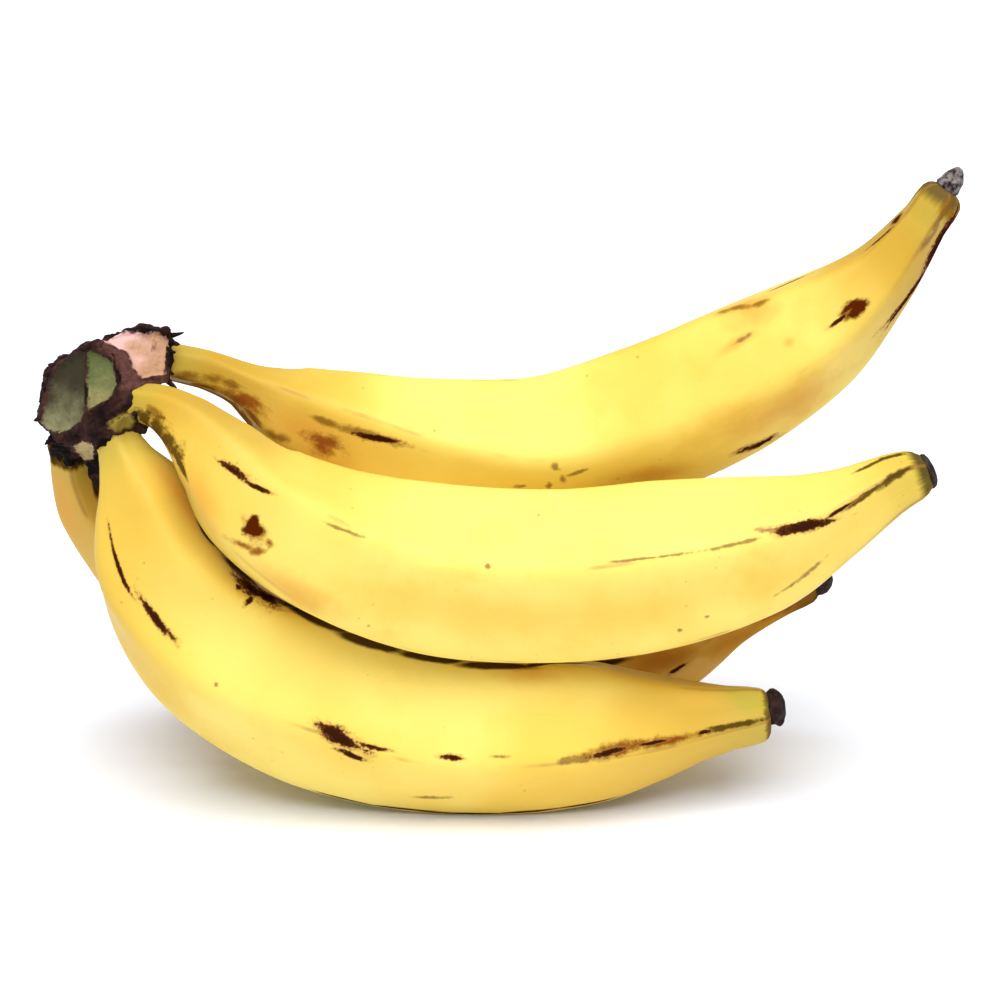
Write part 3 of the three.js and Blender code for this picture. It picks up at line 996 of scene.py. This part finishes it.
def peel_material(finger):
    """Ripe plantain peel: mottled yellow with scars, bruises, brown ridges and dark ends."""
    material, graph, shader = new_material(f"peel_{finger.name}")
    skin = read_skin(graph)
    base = mottled_yellow(graph, finger, skin)
    base, dark_end = shade_ends(graph, finger, skin, base)
    base = rub_ridges(graph, finger, skin, base)
    base, dullest, scar = paint_marks(graph, finger, skin, base, dark_end)
    graph.put(shader.inputs["Base Color"], base)

    # Satin where the peel is sound, and dull where it is marked or dry.
    gloss = graph.ramp(skin.blotch, 0.3, 0.8, 0.46, 0.6)
    dull = graph.ramp(dullest, 0, 0.4)
    graph.put(shader.inputs["Roughness"], graph.mix(dull, gloss, MARK_ROUGHNESS))
    graph.put(shader.inputs["Specular IOR Level"], graph.ramp(dullest, -0.1, 0.25, 0.27, 0))
    shader.inputs["Subsurface Weight"].default_value = 0.06
    shader.inputs["Subsurface Radius"].default_value = (0.006, 0.003, 0.001)
    shader.inputs["Subsurface Scale"].default_value = 1.0

    # Pores and fibres stand out a little, and scars sink in.
    relief = graph.math("MULTIPLY", skin.fine, 0.25)
    relief = graph.math("MULTIPLY_ADD", skin.torn, 0.5, relief)
    relief = graph.math("MULTIPLY_ADD", scar, -0.6, relief)
    bump = graph.node("ShaderNodeBump", {"Height": relief, "Strength": 0.22, "Distance": 0.0006})
    graph.put(shader.inputs["Normal"], bump.outputs["Normal"])
    return material


CROWN_BARK = colour(0.011, 0.005, 0.005)
CROWN_BARK_LIGHT = colour(0.07, 0.027, 0.02)
CROWN_MAUVE = colour(0.12, 0.05, 0.045)
LEFT_CUT_TOP = colour(0.04, 0.034, 0.018)
LEFT_CUT_LOW = colour(0.26, 0.24, 0.12)
RIGHT_CUT_TOP = colour(0.1, 0.12, 0.04)
RIGHT_CUT_LOW = colour(0.34, 0.28, 0.12)
CUT_PINK = colour(0.72, 0.43, 0.4)
CUT_CREAM = colour(0.48, 0.27, 0.16)
OLIVE = colour(0.26, 0.19, 0.03)
CREAM = colour(0.42, 0.33, 0.16)
BLACK = colour(0.004, 0.002, 0.001)
REMNANT_DARK = colour(0.016, 0.008, 0.007)
REMNANT_LIGHT = {
    "top": colour(0.3, 0.25, 0.24),
    "middle": colour(0.055, 0.043, 0.025),
    "front": colour(0.045, 0.02, 0.019),
    "back": colour(0.05, 0.025, 0.02),
}


def crown_material():
    """Dark bark with green and pink knife cuts, worn to olive and cream in places."""
    material, graph, shader = new_material("crown_tissue")
    where = graph.node("ShaderNodeTexCoord").outputs["Object"]
    broad = graph.noise(where, 130, 4, 0.6)
    fine = graph.noise(where, 600, 3, 0.6)
    wobble = graph.math("MULTIPLY", graph.around_zero(fine), 2.4)

    def area(name, low=-0.3, high=0.5):
        """How far a point is in an outline, with an uneven edge."""
        inside = graph.node("ShaderNodeAttribute", attribute_name=name).outputs["Fac"]
        return graph.ramp(graph.math("ADD", inside, wobble), low, high)

    base = graph.mix(graph.ramp(broad, 0.35, 0.75), CROWN_BARK, CROWN_BARK_LIGHT)
    mauve = graph.mix(graph.ramp(fine, 0.3, 0.7), CROWN_BARK_LIGHT, CROWN_MAUVE)
    base = graph.mix(area("mauve", -1, 1.6), base, mauve)
    base = graph.mix(area("olive", -0.6, 1.2), base, OLIVE)
    base = graph.mix(area("cream"), base, CREAM)
    # Black at the back stem's root, and painted shade between the stems and over the front stem.
    base = graph.mix(area("dark"), base, BLACK)

    # Both green cuts are darker at the top, and the pink one turns to cream on the right.
    across, _, height = graph.node("ShaderNodeSeparateXYZ", {0: where}).outputs
    uneven = graph.math("MULTIPLY_ADD", graph.around_zero(broad), 0.03, height)
    left = graph.mix(graph.ramp(uneven, 0.145, 0.118), LEFT_CUT_TOP, LEFT_CUT_LOW)
    base = graph.mix(area("left_cut"), base, left)
    right = graph.mix(graph.ramp(uneven, 0.15, 0.126), RIGHT_CUT_TOP, RIGHT_CUT_LOW)
    base = graph.mix(area("right_cut"), base, right)
    side = graph.math("MULTIPLY_ADD", graph.around_zero(broad), 0.02, across)
    pink = graph.mix(graph.ramp(side, -0.122, -0.113), CUT_PINK, CUT_CREAM)
    base = graph.mix(area("pink_cut"), base, pink)
    graph.put(shader.inputs["Base Color"], base)
    shader.inputs["Roughness"].default_value = 0.8
    shader.inputs["Specular IOR Level"].default_value = 0.07
    bump = graph.node("ShaderNodeBump", {"Height": fine, "Strength": 0.6, "Distance": 0.001})
    graph.put(shader.inputs["Normal"], bump.outputs["Normal"])
    return material


def remnant_material(name):
    """Dry, dark red-brown to grey, rough all over."""
    material, graph, shader = new_material(f"dried_flower_{name}")
    where = graph.node("ShaderNodeTexCoord").outputs["Object"]
    coarse = graph.noise(where, 420, 3, 0.6)
    fine = graph.noise(where, 1500, 3, 0.6)
    base = graph.mix(graph.ramp(coarse, 0.35, 0.7), REMNANT_DARK, REMNANT_LIGHT[name])
    graph.put(shader.inputs["Base Color"], base)
    shader.inputs["Roughness"].default_value = 0.85
    shader.inputs["Specular IOR Level"].default_value = 0.15
    bump = graph.node("ShaderNodeBump", {"Height": fine, "Strength": 0.6, "Distance": 0.0006})
    graph.put(shader.inputs["Normal"], bump.outputs["Normal"])
    return material


def make_camera():
    """The camera at the photograph's place, with its lens."""
    data = bpy.data.cameras.new("camera")
    data.lens = CAMERA_LENS
    data.sensor_width = SENSOR_WIDTH
    data.clip_end = 50
    camera = bpy.data.objects.new("camera", data)
    camera.location = CAMERA_TARGET + Vector(CAMERA_BACK) * CAMERA_DISTANCE
    camera.rotation_euler = (math.pi / 2 - CAMERA_ELEVATION, 0, 0)
    bpy.context.scene.collection.objects.link(camera)
    bpy.context.scene.camera = camera


def make_floor():
    """A plain pale floor, wide enough to fill the view."""
    bpy.ops.mesh.primitive_plane_add(size=8)
    floor = bpy.context.object
    floor.name = "floor"
    material, _, shader = new_material("floor")
    shader.inputs["Base Color"].default_value = FLOOR_WHITE
    shader.inputs["Roughness"].default_value = 0.9
    shader.inputs["Specular IOR Level"].default_value = 0.1
    floor.data.materials.append(material)


def make_light():
    """A bright soft source overhead, a faint one in front, and a dim white room all round."""
    scene = bpy.context.scene
    scene.view_settings.view_transform = "Standard"
    scene.view_settings.look = "None"
    world = bpy.data.worlds.new("studio")
    world.use_nodes = True
    background = world.node_tree.nodes["Background"].inputs
    background["Color"].default_value = colour(1, 1, 1)
    background["Strength"].default_value = ROOM_LIGHT
    scene.world = world
    for name, softbox in SOFTBOXES.items():
        data = bpy.data.lights.new(name, "SUN")
        data.energy = softbox["light"]
        data.angle = math.radians(softbox["spread"])
        light = bpy.data.objects.new(name, data)
        light.rotation_euler = Vector(softbox["from"]).to_track_quat("Z", "Y").to_euler()
        scene.collection.objects.link(light)


make_camera()
make_floor()
make_light()
build_crown()
for finger_name in STATIONS:
    build_finger(finger_name)
    build_remnant(finger_name)
